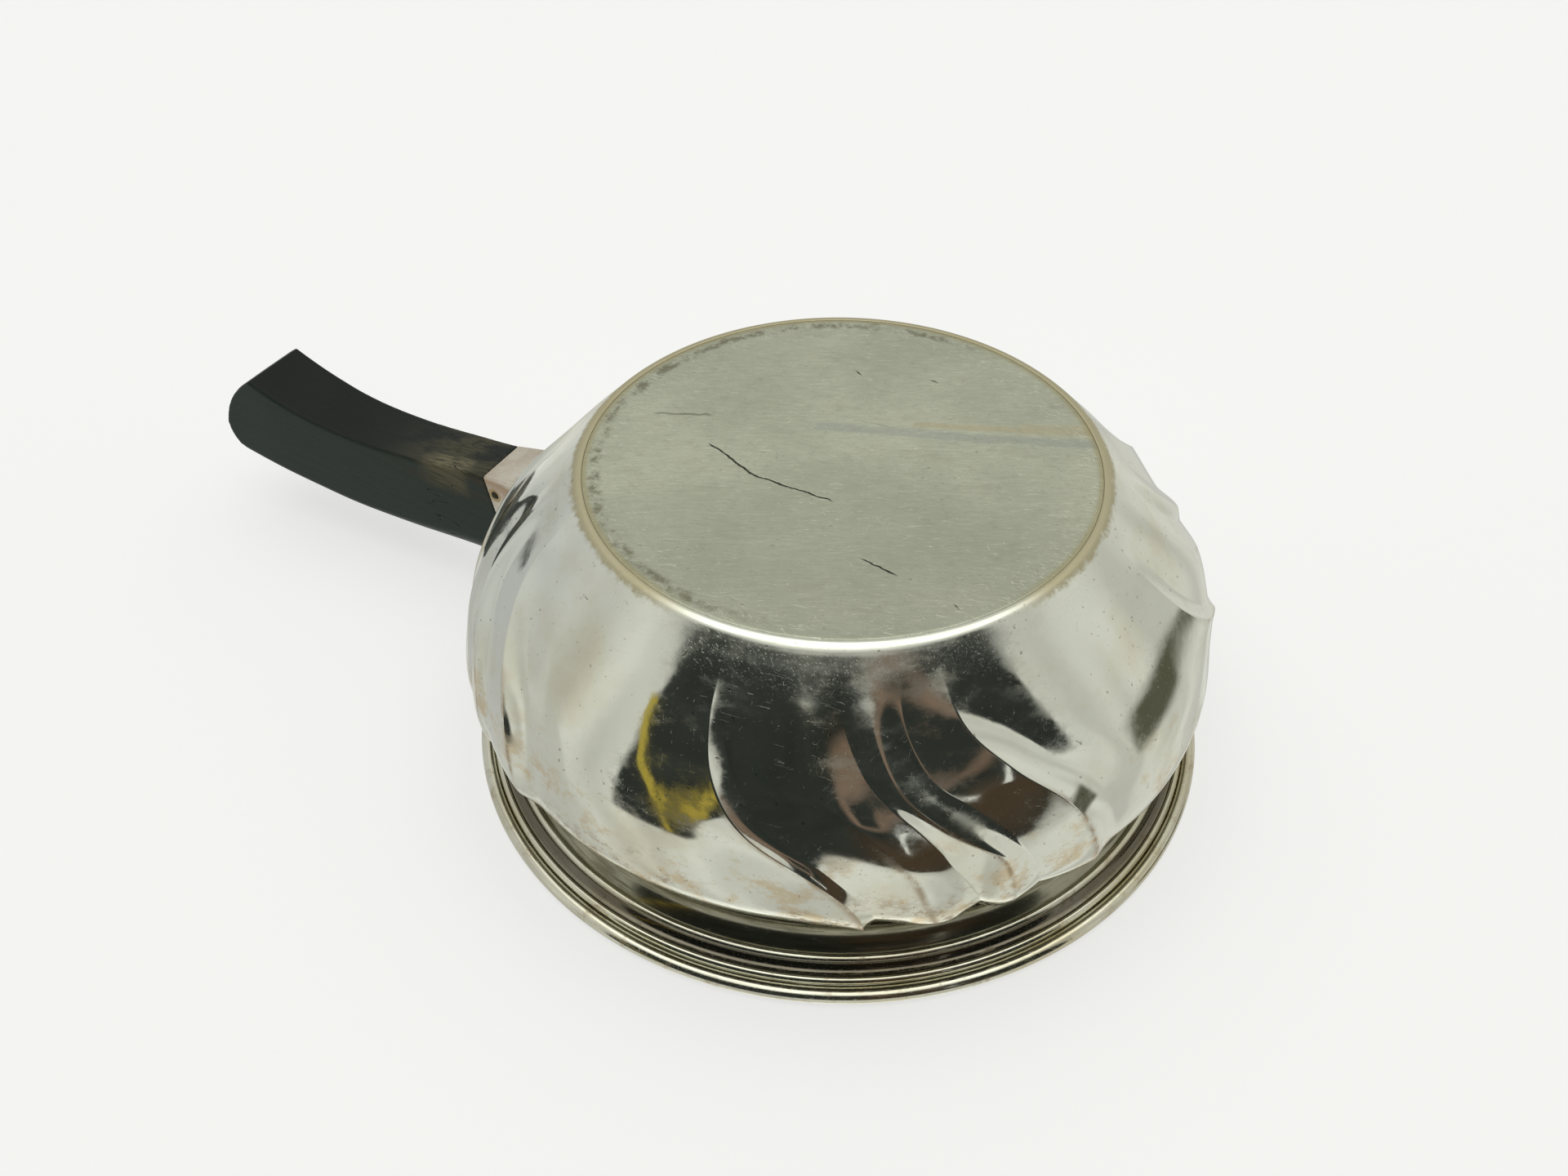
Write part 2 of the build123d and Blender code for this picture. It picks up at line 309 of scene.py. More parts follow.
def wall_rows(depth, spacing, lowest):
    """Heights and radii of the plain wall, depth below its outer face, and the outer heights."""
    outer, shifted = sheet_faces(0.5, SEAM_PLACE + 0.6, 1200, depth)
    keep = (shifted[:, 0] >= lowest) & (shifted[:, 0] <= SEAM_HEIGHT)
    shifted, outer = shifted[keep], outer[keep]
    run = np.concatenate([[0], np.cumsum(np.linalg.norm(np.diff(shifted, axis=0), axis=1))])
    wanted = np.linspace(0, run[-1], int(run[-1] / spacing))
    height = np.interp(wanted, run, shifted[:, 0])
    radius = np.interp(wanted, run, shifted[:, 1])
    return height, radius, np.interp(wanted, run, outer[:, 0])


def make_bowl():
    """Fluted wall: its foot, its outer face and its lining, as one closed shell."""
    rows, crest_rows = [], []
    foot = even_curve(FOOT_OUTLINE, FOOT_STEP)
    face = wall_rows(0.0, FACE_STEP, FOOT_OUTLINE[-1][0])
    lining = wall_rows(SHEET, LINING_STEP, LINING_LOWEST)
    parts = [
        (foot[:-1, 0], foot[:-1, 1], foot[:-1, 0]),
        face,
        tuple(values[::-1] for values in lining),
    ]
    for number, (height, radius, level) in enumerate(parts):
        azimuth, spans, shares = wall_sections(level)
        relief, crest = fluting(spans, shares, level)
        waves = unevenness(azimuth, level[:, None], WALL_WAVINESS, WALL_SEED)
        relief = relief + waves * smooth_step(level / 6)[:, None]
        reach = radius[:, None] + relief
        angle = np.radians(azimuth)
        lift = np.broadcast_to(height[:, None], reach.shape)
        rows.append(np.stack([reach * np.cos(angle), reach * np.sin(angle), lift], axis=2))
        crest_rows.append(crest if number < 2 else crest * 0)
    grid = np.concatenate(rows)
    faces = grid_faces(*grid.shape[:2])
    bowl = new_piece("bowl_wall", grid.reshape(-1, 3), faces, "fluted_bowl")
    layer = bowl.data.attributes.new("crest", "FLOAT", "POINT")
    layer.data.foreach_set("value", np.concatenate(crest_rows).ravel().astype(np.float32))
    return bowl


# ---------------------------------------------------------------- turned pieces

def make_turned(
    name, outline, stands_for, seed, columns=400, wobble=0.03, bend=None, hub=None,
):
    """Closed ring turned about Z from an outline of (radius, height) points. A disc has a hub:
    the number of the innermost row on its first face, where both faces close at the centre."""
    outline = np.asarray(outline, float)
    azimuth = np.linspace(0, 360, columns, endpoint=False)[None, :]
    radius = outline[:, 0][:, None]
    height = outline[:, 1][:, None]
    reach = radius + unevenness(azimuth, 0 * height, wobble, seed)
    lift = height + unevenness(azimuth, 0 * height, wobble * 0.5, seed + 1)
    if bend is not None:
        lift = lift + bend(azimuth, radius, height)
    angle = np.radians(azimuth)
    lift = lift * np.ones_like(reach)
    grid = np.stack([reach * np.cos(angle), reach * np.sin(angle), lift], axis=2)
    vertices = grid.reshape(-1, 3)
    faces = grid_faces(len(outline), columns)
    if hub is not None:
        faces = [face for face in faces if face[0] // columns != hub]
        for row, turn in ((hub, 1), (hub + 1, -1)):
            centre = len(vertices)
            ring = vertices[row * columns:(row + 1) * columns]
            vertices = np.concatenate([vertices, [[0, 0, ring[:, 2].mean()]]])
            for j in range(columns):
                pair = (row * columns + j, row * columns + (j + 1) % columns)
                faces.append((*pair[::turn], centre))
    return new_piece(name, vertices, faces, stands_for)


def arc(centre, radius, first, last, count):
    """Points of an arc in (radius, height), angles in degrees from the outward direction."""
    angles = np.radians(np.linspace(first, last, count))
    return np.stack(
        [centre[0] + radius * np.cos(angles), centre[1] + radius * np.sin(angles)], axis=1
    )


RIM_RADIUS, RIM_HEIGHT = 63.65, 55.35    # centre of the wire round the mouth
WIRE_RADIUS = 1.34
WIRE_GAP = 0.03


def make_neck():
    """Drawn-in ring that flares out to the wire."""
    faces = sheet_faces(SEAM_PLACE - 0.6, len(WALL_OUTLINE) - 1, 800, SHEET)
    outer, inner = (
        face[
            (face[:, 0] >= SEAM_HEIGHT)
            & (np.linalg.norm(face - (RIM_HEIGHT, RIM_RADIUS), axis=1) > WIRE_RADIUS + WIRE_GAP)
        ]
        for face in faces
    )
    outline = np.concatenate([outer[::6], inner[::-9]])
    return make_turned("neck", outline[:, ::-1], "neck_ring", seed=21)


def make_rim():
    """Round wire, and under the lip one strip with an edge, a cove and a bead."""
    wire = arc((RIM_RADIUS, RIM_HEIGHT), WIRE_RADIUS, 0, 360, 41)[:-1]
    roll = make_turned("rim_roll", wire, "rim_wire", seed=31, wobble=0.012)
    ledge = [(58.45, 52.0), (58.62, 51.62), (58.9, 51.42), (59.3, 51.45), (59.65, 51.68)]
    cove = [(59.8, 51.9), (59.95, 52.45), (60.2, 52.9), (60.6, 53.35), (61.2, 53.6)]
    bead = [
        (61.42, 53.62), (61.6, 53.42), (61.95, 53.32), (62.3, 53.5), (62.5, 53.8), (62.6, 54.1),
    ]
    outline = even_curve(ledge + cove + bead, 0.12)
    outline = np.concatenate([outline, [(62.35, 54.5), (61.9, 54.75)]])
    lip = through(WALL_OUTLINE, np.linspace(11.2, 13.0, 12))[:, ::-1]
    back = [p + np.array([0.05, -0.05]) for p in lip[::-1] if 58.4 < p[0] < 61.8]
    outline = np.concatenate([outline, back])
    band = make_turned("rim_band", outline, "rim_moulding", seed=41, wobble=0.012)
    return roll, band


DISC_RADIUS = 41.5
DISC_DISH = 0.10
DISC_RIPPLE = 0.02
DENTS = 26


def make_base():
    """Bottom disc: slightly dished, dented and worn."""
    draw = np.random.default_rng(7)
    dents = [
        (
            draw.uniform(0, 38), draw.uniform(0, 360),
            draw.uniform(1.5, 5.0), draw.uniform(0.01, 0.05),
        )
        for _ in range(DENTS)
    ]   # distance from the centre, azimuth, size and depth

    def surface(azimuth, radius, height):
        """Lift of the under face, which stays flat at the edge that it rests on."""
        x = radius * np.cos(np.radians(azimuth))
        y = radius * np.sin(np.radians(azimuth))
        dish = DISC_DISH * (1 - (radius / DISC_RADIUS) ** 2)
        lift = dish + DISC_RIPPLE * np.sin(x / 7.0 + 1.0) * np.sin(y / 9.0)
        for r, a, size, depth in dents:
            dx = x - r * math.cos(math.radians(a))
            dy = y - r * math.sin(math.radians(a))
            lift = lift + depth * np.exp(-(dx * dx + dy * dy) / (size * size))
        inside = np.clip(DISC_RADIUS + 0.1 - radius, 0, 1)
        return np.where(height < SHEET / 2, np.maximum(lift, 0.0) * inside, 0.0)

    under = [(41.87, 0.06), (41.8, 0.02), (41.7, 0.0)]
    under += [(r, 0.0) for r in np.linspace(41.4, 0.5, 84)]
    over = [(r, SHEET) for r in (0.5, 10.0, 20.0, 30.0, 42.0)] + [(42.6, 0.98), (42.58, 0.9)]
    outline = np.array(under + over)
    return make_turned(
        "base_disc", outline, "base_plate", columns=360, wobble=0.0,
        seed=51, bend=surface, hub=len(under) - 1,
    )


bowl = make_bowl()
neck = make_neck()
roll, band = make_rim()
base = make_base()


# ---------------------------------------------------------------- handle, socket and pin

WELD_DISTANCE = 0.00002


def softened(name, node, voxel, passes, shape=None):
    """A remeshed copy of a CAD node with softly worn edges. The voxel is in millimetres."""
    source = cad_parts[node]
    mesh = source.data.copy()
    piece = bpy.data.objects.new(name, mesh)
    bpy.context.scene.collection.objects.link(piece)
    mesh.materials.clear()
    weld = piece.modifiers.new("weld", "WELD")
    weld.merge_threshold = WELD_DISTANCE
    remesh = piece.modifiers.new("remesh", "REMESH")
    remesh.mode = "VOXEL"
    remesh.voxel_size = voxel * MM
    even = piece.modifiers.new("even", "SMOOTH")
    even.factor = 0.5
    even.iterations = passes
    graph = bpy.context.evaluated_depsgraph_get()
    done = bpy.data.meshes.new_from_object(piece.evaluated_get(graph), depsgraph=graph)
    piece.modifiers.clear()
    piece.data = done
    points = np.zeros(len(done.vertices) * 3)
    done.vertices.foreach_get("co", points)
    points = points.reshape(-1, 3) / MM
    if shape is not None:
        normals = np.zeros(len(done.vertices) * 3)
        done.vertices.foreach_get("normal", normals)
        points = shape(points, normals.reshape(-1, 3))
    done.vertices.foreach_set("co", (points * MM).ravel())
    done.polygons.foreach_set("use_smooth", [True] * len(done.polygons))
    done.update()
    done.name = name
    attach(piece, "root")
    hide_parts(node)
    return piece


def carved(points, normals):
    """Slow unevenness of hand-filed wood, a few hundredths of a millimetre deep."""
    x, y, z = points.T
    wave = 0.030 * np.sin(0.8 - x / 5.3) * np.sin(z / 6.1) + 0.024 * np.sin(y / 3.1 - x / 2.9)
    return points + normals * wave[:, None]


stick = softened("handle_wood", "wooden_handle", 0.26, 3, carved)
socket = softened("socket_ferrule", "handle_socket", 0.15, 3)
pin = softened("socket_pin", "handle_pin", 0.1, 2)


# ---------------------------------------------------------------- materials

NO_TURN = NO_SHIFT = (0, 0, 0)
BUMP_HEIGHT = 0.0001    # metres


class Graph:
    """Short hand for building one node material. Places are in millimetres."""

    def __init__(self, tree):
        self.tree = tree
        tree.nodes.clear()
        self.where = None

    def node(self, kind, inputs=None, **settings):
        made = self.tree.nodes.new("ShaderNode" + kind)
        for name, value in settings.items():
            setattr(made, name, value)
        for name, value in (inputs or {}).items():
            self.put(made.inputs[name], value)
        return made

    def put(self, socket, value):
        if isinstance(value, bpy.types.NodeSocket):
            self.tree.links.new(value, socket)
        else:
            socket.default_value = value

    def math(self, operation, *values):
        return self.node("Math", dict(enumerate(values)), operation=operation).outputs[0]

    def vector(self, operation, *values):
        made = self.node("VectorMath", dict(enumerate(values)), operation=operation)
        return made.outputs["Value" if operation in ("DOT_PRODUCT", "LENGTH") else "Vector"]

    def split(self, vector):
        return self.node("SeparateXYZ", {0: vector}).outputs

    def join(self, x, y, z):
        return self.node("CombineXYZ", {0: x, 1: y, 2: z}).outputs[0]

    def most(self, *values):
        total = values[0]
        for value in values[1:]:
            total = self.math("MAXIMUM", total, value)
        return total

    def times(self, *values):
        total = values[0]
        for value in values[1:]:
            total = self.math("MULTIPLY", total, value)
        return total

    def total(self, start, *parts):
        """A start value plus masks, each times its weight."""
        for mask, weight in parts:
            start = self.math("ADD", start, self.times(mask, weight))
        return start

    def distance(self, value, centre):
        return self.math("ABSOLUTE", self.math("SUBTRACT", value, centre))

    def fade(self, value, low, high, first=0.0, last=1.0):
        """Smooth step from the first value at low to the last one at high."""
        steps = dict(enumerate((value, low, high, first, last)))
        return self.node("MapRange", steps, interpolation_type="SMOOTHSTEP").outputs[0]

    def mix(self, share, first, second):
        return self.node("Mix", {0: share, 6: first, 7: second}, data_type="RGBA").outputs[2]

    def coats(self, paint, *layers):
        """Paint with coats laid over it in order: a mask, how well it covers, and a colour."""
        for mask, cover, tone in layers:
            paint = self.mix(self.times(mask, cover), paint, tone)
        return paint

    def noise(self, place, scale, detail=3.0, roughness=0.5, distortion=0.0):
        return self.node("TexNoise", {
            "Vector": place, "Scale": scale, "Detail": detail,
            "Roughness": roughness, "Distortion": distortion,
        }).outputs[0]

    def place(self, scale=(1, 1, 1), turn=NO_TURN, shift=NO_SHIFT):
        """Position on the object in millimetres, turned and then scaled."""
        if self.where is None:
            metres = self.node("TexCoord").outputs["Object"]
            self.where = self.vector("MULTIPLY", metres, (1 / MM, 1 / MM, 1 / MM))
        turned = self.node("Mapping", {
            "Vector": self.where, "Rotation": [math.radians(a) for a in turn],
            "Location": shift,
        }).outputs[0]
        return self.vector("MULTIPLY", turned, scale)

    def spots(self, scale, detail, roughness, low, high, turn=NO_TURN, shift=NO_SHIFT):
        """Spots of a noise that is stretched by a scale along each axis."""
        noise = self.noise(self.place(scale, turn, shift), 1.0, detail, roughness)
        return self.fade(noise, low, high)

    def scratches(self, length, width, turn, sparse=0.5, shift=NO_SHIFT, thin=0.02):
        """Broken straight scratches along the turned X axis: 1 on a scratch, 0 beside it."""
        lines = self.place((1 / length, 1 / width, 1 / width), turn, shift)
        line = self.fade(self.distance(self.noise(lines, 1.0, 1.0), 0.5), thin, 0.0)
        gaps = self.place((1.6 / length, 0.7 / width, 0.7 / width), turn, shift)
        return self.times(line, self.fade(self.noise(gaps, 1.0), sparse, sparse + 0.08))

    def stroke(self, place, start, end, width):
        """A straight mark between two (x, y) points in millimetres: 1 on it and 0 beside it."""
        length = math.dist(start, end)
        along = ((end[0] - start[0]) / length, (end[1] - start[1]) / length, 0.0)
        across = (-along[1], along[0], 0.0)
        first = start[0] * along[0] + start[1] * along[1]
        last = first + length
        run = self.vector("DOT_PRODUCT", place, along)
        off = self.vector("DOT_PRODUCT", place, across)
        aside = self.distance(off, start[0] * across[0] + start[1] * across[1])
        return self.times(
            self.fade(run, first - 0.3, first + 1.2), self.fade(run, last + 0.3, last - 1.2),
            self.fade(aside, width, 0.35 * width),
        )

    def attribute(self, name):
        return self.node("Attribute", attribute_name=name).outputs["Fac"]

    def finish(self, paint, roughness, height, metallic, **sockets):
        bump = self.node("Bump", {"Height": height, "Strength": 1.0, "Distance": BUMP_HEIGHT})
        shader = self.node("BsdfPrincipled", {
            "Base Color": paint, "Roughness": roughness, "Metallic": metallic,
            "Normal": bump.outputs[0], **sockets,
        })
        self.put(self.node("OutputMaterial").inputs["Surface"], shader.outputs[0])


def colour(red, green, blue):
    return (red, green, blue, 1.0)


def material(name, build, *pieces):
    made = bpy.data.materials.new(name)
    made.use_nodes = True
    build(Graph(made.node_tree))
    for piece in pieces:
        piece.data.materials.clear()
        piece.data.materials.append(made)


FRONT = (0.5, 0.866, 0.0)      # level direction towards the main camera
SIDE = (0.866, -0.5, 0.0)      # level direction to the right in the main view

CLEAN = colour(0.80, 0.815, 0.735)
WARM = colour(0.66, 0.60, 0.43)
TAN = colour(0.62, 0.43, 0.19)
BROWN = colour(0.30, 0.19, 0.085)
DARK = colour(0.10, 0.085, 0.06)
SCRATCHED = colour(0.4, 0.38, 0.3)
SOOTY = colour(0.16, 0.16, 0.12)
METAL = 1.0

PIN_SPOT = (-70.5, 0.0, 30.6)
PIN_RADIUS = 0.95
# Marks on the bottom disc, from (x, y) to (x, y), and their width.
LONG_SCRATCHES = [((-20.5, 5.5), (-9, 9.7)), ((-11, 9.4), (4.5, 9)), ((14.5, 19), (21.5, 20))]
SHORT_SCRATCHES = [((-9.5, -25), (-7.5, -24)), ((3, -28.5), (5, -28)), ((31, 21.5), (32.5, 22))]
LONG_WIDTH, SHORT_WIDTH = 0.26, 0.24


def wall_silver(g):
    """Polished sheet with hairline scratches, a dull film, and stains near the shoulder."""
    place = g.place()
    z = g.split(place)[2]
    toward = g.vector("DOT_PRODUCT", place, FRONT)
    fine = g.most(
        g.scratches(14, 0.5, (20, 0, 15), 0.60, (0, 0, 0), 0.006),
        g.scratches(11, 0.4, (-35, 20, 80), 0.62, (3, 1, 4), 0.006),
        g.scratches(16, 0.6, (10, 50, -40), 0.62, (9, 4, 1), 0.006),
    )
    foot = g.fade(z, 7.0, 1.0)
    rubbed = g.times(g.scratches(4, 0.2, (0, 0, -30), 0.55, (5, 5, 5), 0.02), foot)
    pits = g.fade(g.noise(place, 0.9, 2.0), 0.70, 0.76)
    cloud = g.fade(g.noise(place, 0.05, 4.0, 0.6), 0.45, 0.72)
    patches = g.times(
        g.spots((0.22, 0.22, 0.34), 6.0, 0.78, 0.50, 0.62),
        g.fade(g.noise(place, 0.05, 2.0), 0.42, 0.56), g.fade(z, 27.0, 36.0),
    )
    creased = g.times(
        g.fade(g.attribute("crest"), 0.45, 0.95), g.fade(z, 16.0, 24.0),
        g.fade(g.noise(place, 0.22, 5.0, 0.7), 0.34, 0.58),
    )
    speckled = g.times(
        g.spots((0.9, 0.9, 1.6), 4.0, 0.7, 0.63, 0.70),
        g.fade(g.noise(place, 0.06, 2.0), 0.5, 0.62),
    )
    stains = g.times(
        g.spots((0.11, 0.11, 0.16), 5.0, 0.72, 0.50, 0.64, shift=(4, 2, 0)),
        g.fade(z, 17.0, 31.0),
    )
    film = g.spots((0.10, 0.10, 0.22), 6.0, 0.75, 0.44, 0.66, shift=(7, 1, 3))
    uneven = g.total(z, (g.noise(place, 0.7, 4.0, 0.7), -2.4))
    edge = g.times(g.fade(uneven, 0.1, -0.9), g.fade(toward, 38.0, 30.0))
    dirty = g.most(patches, creased)
    paint = g.coats(
        CLEAN, (cloud, 0.5, WARM), (stains, 0.52, TAN), (dirty, 0.62, BROWN),
        (g.most(speckled, pits), 0.5, DARK), (fine, 0.30, colour(0.45, 0.44, 0.38)),
        (edge, 0.75, colour(0.42, 0.36, 0.19)),
    )
    rough = g.total(
        0.05, (cloud, 0.03), (edge, 0.3), (g.most(dirty, speckled), 0.22), (film, 0.12),
        (stains, 0.10), (g.most(fine, rubbed), 0.25), (foot, 0.10),
    )
    height = g.total(
        0.0, (g.noise(place, 0.16, 2.0), 0.35), (g.noise(place, 2.2, 3.0), 0.012),
        (fine, -0.02), (rubbed, -0.05), (pits, -0.03),
    )
    g.finish(paint, rough, height, METAL)


def worn_silver(g):
    """Satin bottom disc, worn by sliding on its face, with a ragged dark border."""
    place = g.place()
    x, y, _ = g.split(place)
    radius = g.vector("LENGTH", g.join(x, y, 0.0))
    toward = g.vector("DOT_PRODUCT", place, FRONT)
    waver = g.join(
        g.times(g.noise(place, 0.25, 3.0), 1.6), g.times(g.noise(place, 0.3, 3.0), -1.6), 0.0,
    )
    bent = g.vector("ADD", place, waver)
    fine = g.most(
        g.scratches(12, 0.30, (0, 0, 29), 0.48, (1, 2, 3), 0.018),
        g.scratches(8, 0.26, (0, 0, 12), 0.50, (7, 2, 3), 0.018),
        g.scratches(14, 0.34, (0, 0, -18), 0.54, (4, 8, 3), 0.015),
        g.scratches(9, 0.34, (0, 0, 75), 0.58, (2, 6, 3), 0.015),
    )
    worn = g.times(g.fade(radius, 30.0, 41.0), g.most(
        g.scratches(6.0, 0.3, (0, 0, 10), 0.52, (2, 2, 9), 0.014),
        g.scratches(5.0, 0.3, (0, 0, -35), 0.54, (8, 2, 9), 0.014),
    ))
    # scratches painted near white: bare silver cut through the dull face, with a painted glint
    scratches_and_glints = g.most(
        g.scratches(5, 0.35, (0, 0, 30), 0.55, (11, 2, 3), 0.010),
        g.scratches(4, 0.30, (0, 0, 20), 0.57, (2, 12, 3), 0.010),
        g.scratches(3, 0.30, (0, 0, -40), 0.60, (5, 9, 3), 0.010),
        worn,
    )
    deep = g.most(
        *[g.stroke(bent, start, end, LONG_WIDTH) for start, end in LONG_SCRATCHES],
        *[g.stroke(bent, start, end, SHORT_WIDTH) for start, end in SHORT_SCRATCHES],
    )
    faint = g.most(
        g.stroke(bent, (-33, 3), (-24, -1.5), 0.35),
        g.times(g.scratches(22, 1.2, (0, 0, 8), 0.62, (21, 2, 3), 0.006), 0.8),
    )
    stain = g.most(
        g.stroke(bent, (22, -22.5), (36, -29), 2.2), g.stroke(bent, (6, -15), (30, -26), 1.2),
    )
    shade = g.most(
        g.stroke(bent, (16, -16.5), (36, -25), 1.6), g.stroke(bent, (-8, -7), (20, -18), 1.6),
    )
    cloud = g.fade(g.noise(place, 0.035, 4.0, 0.55), 0.35, 0.68)
    blotch = g.spots((0.10, 0.22, 0.1), 5.0, 0.6, 0.5, 0.75, (0, 0, 28))
    grain = g.noise(g.place((0.25, 2.2, 1.0), (0, 0, 29)), 1.0, 4.0, 0.65)
    mottle = g.noise(place, 0.45, 5.0, 0.7)
    specks = g.times(
        g.spots((0.9, 1.9, 1.0), 3.0, 0.7, 0.64, 0.70, (0, 0, 25)),
        g.fade(g.noise(place, 0.08, 2.0), 0.46, 0.58),
    )
    ragged = g.distance(g.total(radius, (mottle, 3.0)), DISC_RADIUS + 0.1)
    ring = g.times(
        g.fade(ragged, 1.5, 0.2), g.fade(g.noise(place, 0.3, 5.0, 0.75), 0.42, 0.60),
        g.fade(x, 14.0, -6.0),
    )
    edge = g.times(g.fade(radius, 40.6, 41.7), g.fade(toward, 36.0, 28.0))
    paint = g.coats(
        g.mix(cloud, colour(0.50, 0.53, 0.42), colour(0.58, 0.60, 0.485)),
        (g.fade(grain, 0.40, 0.72), 0.35, colour(0.40, 0.41, 0.32)),
        (blotch, 0.35, colour(0.43, 0.43, 0.34)),
        (fine, 0.45, colour(0.33, 0.34, 0.26)),
        (stain, 0.45, colour(0.44, 0.37, 0.24)),
        (shade, 0.40, colour(0.34, 0.37, 0.36)),
        # painted shade: the disc darkens towards the front
        (g.fade(toward, -8.0, 40.0), 0.42, colour(0.30, 0.31, 0.25)),
        (g.fade(mottle, 0.50, 0.72), 0.35, colour(0.36, 0.37, 0.30)),
        (specks, 0.7, SOOTY),
        # near-white scratches: bare silver with a painted glint
        (scratches_and_glints, 0.8, colour(0.90, 0.90, 0.80)),
        (faint, 0.6, SOOTY),
        (deep, 1.0, colour(0.05, 0.05, 0.04)),
        (ring, 0.75, colour(0.17, 0.155, 0.10)),
        (edge, 0.6, colour(0.40, 0.34, 0.17)),
    )
    rough = g.total(
        0.30, (cloud, 0.06), (fine, 0.08), (scratches_and_glints, -0.14), (g.most(deep, stain), 0.25),
    )
    height = g.total(
        0.0, (g.noise(place, 1.4, 4.0, 0.6), 0.03), (grain, 0.05), (fine, -0.08),
        (deep, -0.6), (scratches_and_glints, -0.08),
    )
    g.finish(paint, rough, height, METAL)


def aged_silver(g):
    """Rim: polished where rubbed, brown where dirt gathers, and nearly black in the cove."""
    place = g.place()
    x, y, _ = g.split(place)
    radius = g.vector("LENGTH", g.join(x, y, 0.0))
    fine = g.most(
        g.scratches(8, 0.15, (15, 0, 40), 0.5),
        g.scratches(8, 0.15, (-30, 10, -50), 0.52, (3, 3, 3)),
    )
    dirt = g.fade(g.noise(place, 0.3, 5.0, 0.7), 0.52, 0.70)
    cloud = g.fade(g.noise(place, 0.06, 3.0), 0.4, 0.7)
    cove = g.times(g.fade(radius, 59.5, 60.0), g.fade(radius, 61.7, 61.1))
    paint = g.coats(
        g.mix(cloud, colour(0.72, 0.71, 0.60), colour(0.60, 0.56, 0.42)),
        (dirt, 0.4, BROWN), (cove, 0.85, colour(0.07, 0.055, 0.035)), (fine, 0.3, SCRATCHED),
    )
    height = g.total(0.0, (g.noise(place, 0.5, 3.0), 0.1), (fine, -0.03))
    g.finish(paint, g.total(0.10, (g.most(dirt, fine), 0.2)), height, METAL)


def neck_silver(g):
    """Silver painted dark all over as shade, with vertical streaks of painted reflection, nearly
    black painted shade and higher roughness below the overhanging shoulder, and a brassy solder
    line.
    """
    place = g.place()
    z = g.split(place)[2]
    cloud = g.fade(g.noise(place, 0.07, 3.0), 0.35, 0.7)
    # painted reflection: vertical streaks of lighter and darker tone
    streak_reflections = g.spots((0.12, 0.12, 1.4), 4.0, 0.6, 0.42, 0.66)
    fine = g.scratches(10, 0.3, (0, 0, 30), 0.56, (2, 5, 1), 0.012)
    # painted shade: nearly black where the overhanging shoulder shades the neck; also rougher
    # there
    shoulder_shade = g.fade(z, 47.0, 44.0)
    solder = g.times(g.fade(g.distance(z, SEAM_HEIGHT + 0.2), 0.5, 0.1), cloud)
    paint = g.coats(
        # painted shade: the neck's whole tone is dark, varied along the painted reflection streaks
        g.mix(streak_reflections, colour(0.34, 0.33, 0.25), colour(0.20, 0.19, 0.13)),
        # painted shade under the shoulder
        (shoulder_shade, 0.75, colour(0.060, 0.060, 0.040)),
        (solder, 0.7, colour(0.42, 0.33, 0.12)),
        (fine, 0.4, colour(0.5, 0.48, 0.38)),
    )
    height = g.total(0.0, (g.noise(place, 0.5, 3.0), 0.1), (fine, -0.03))
    g.finish(paint, g.total(0.14, (shoulder_shade, 0.16), (streak_reflections, 0.08)), height, METAL)


def socket_silver(g):
    """Thin polished ferrule with warm tarnish along its lower edge and round the pin, and a nearly
    black dip at the pin's centre that is painted shade and dark reflection.
    """
    place = g.place()
    z = g.split(place)[2]
    cloud = g.fade(g.noise(place, 0.16, 3.0), 0.35, 0.68)
    stain = g.fade(g.noise(place, 0.35, 5.0, 0.7), 0.46, 0.66)
    edge = g.times(g.fade(g.total(z, (cloud, 3.0)), 33.0, 29.0), g.fade(z, 26.6, 28.0))
    fine = g.scratches(6, 0.3, (0, 20, 10), 0.56, (2, 5, 1), 0.012)
    from_pin = g.vector("MULTIPLY", g.vector("SUBTRACT", place, PIN_SPOT), (1, 0, 1))
    reach = g.vector("LENGTH", from_pin)
    ring = g.fade(g.distance(reach, PIN_RADIUS + 0.2), 0.5, 0.1)
    # painted shade and dark reflection: the dip at the pin's centre
    pin_hollow_shade = g.fade(reach, PIN_RADIUS, 0.7)
    paint = g.coats(
        g.mix(cloud, colour(0.74, 0.70, 0.62), colour(0.60, 0.52, 0.44)),
        (edge, 0.7, colour(0.36, 0.20, 0.09)), (stain, 0.25, BROWN), (fine, 0.4, SCRATCHED),
        # the last coat is painted shade and dark reflection at the pin's centre
        (ring, 0.8, colour(0.40, 0.28, 0.10)), (pin_hollow_shade, 1.0, colour(0.03, 0.025, 0.015)),
    )
    rough = g.total(0.12, (g.most(edge, stain, ring), 0.15))
    height = g.total(0.0, (g.noise(place, 0.35, 3.0), 0.12), (pin_hollow_shade, -0.4))
    g.finish(paint, rough, height, METAL)


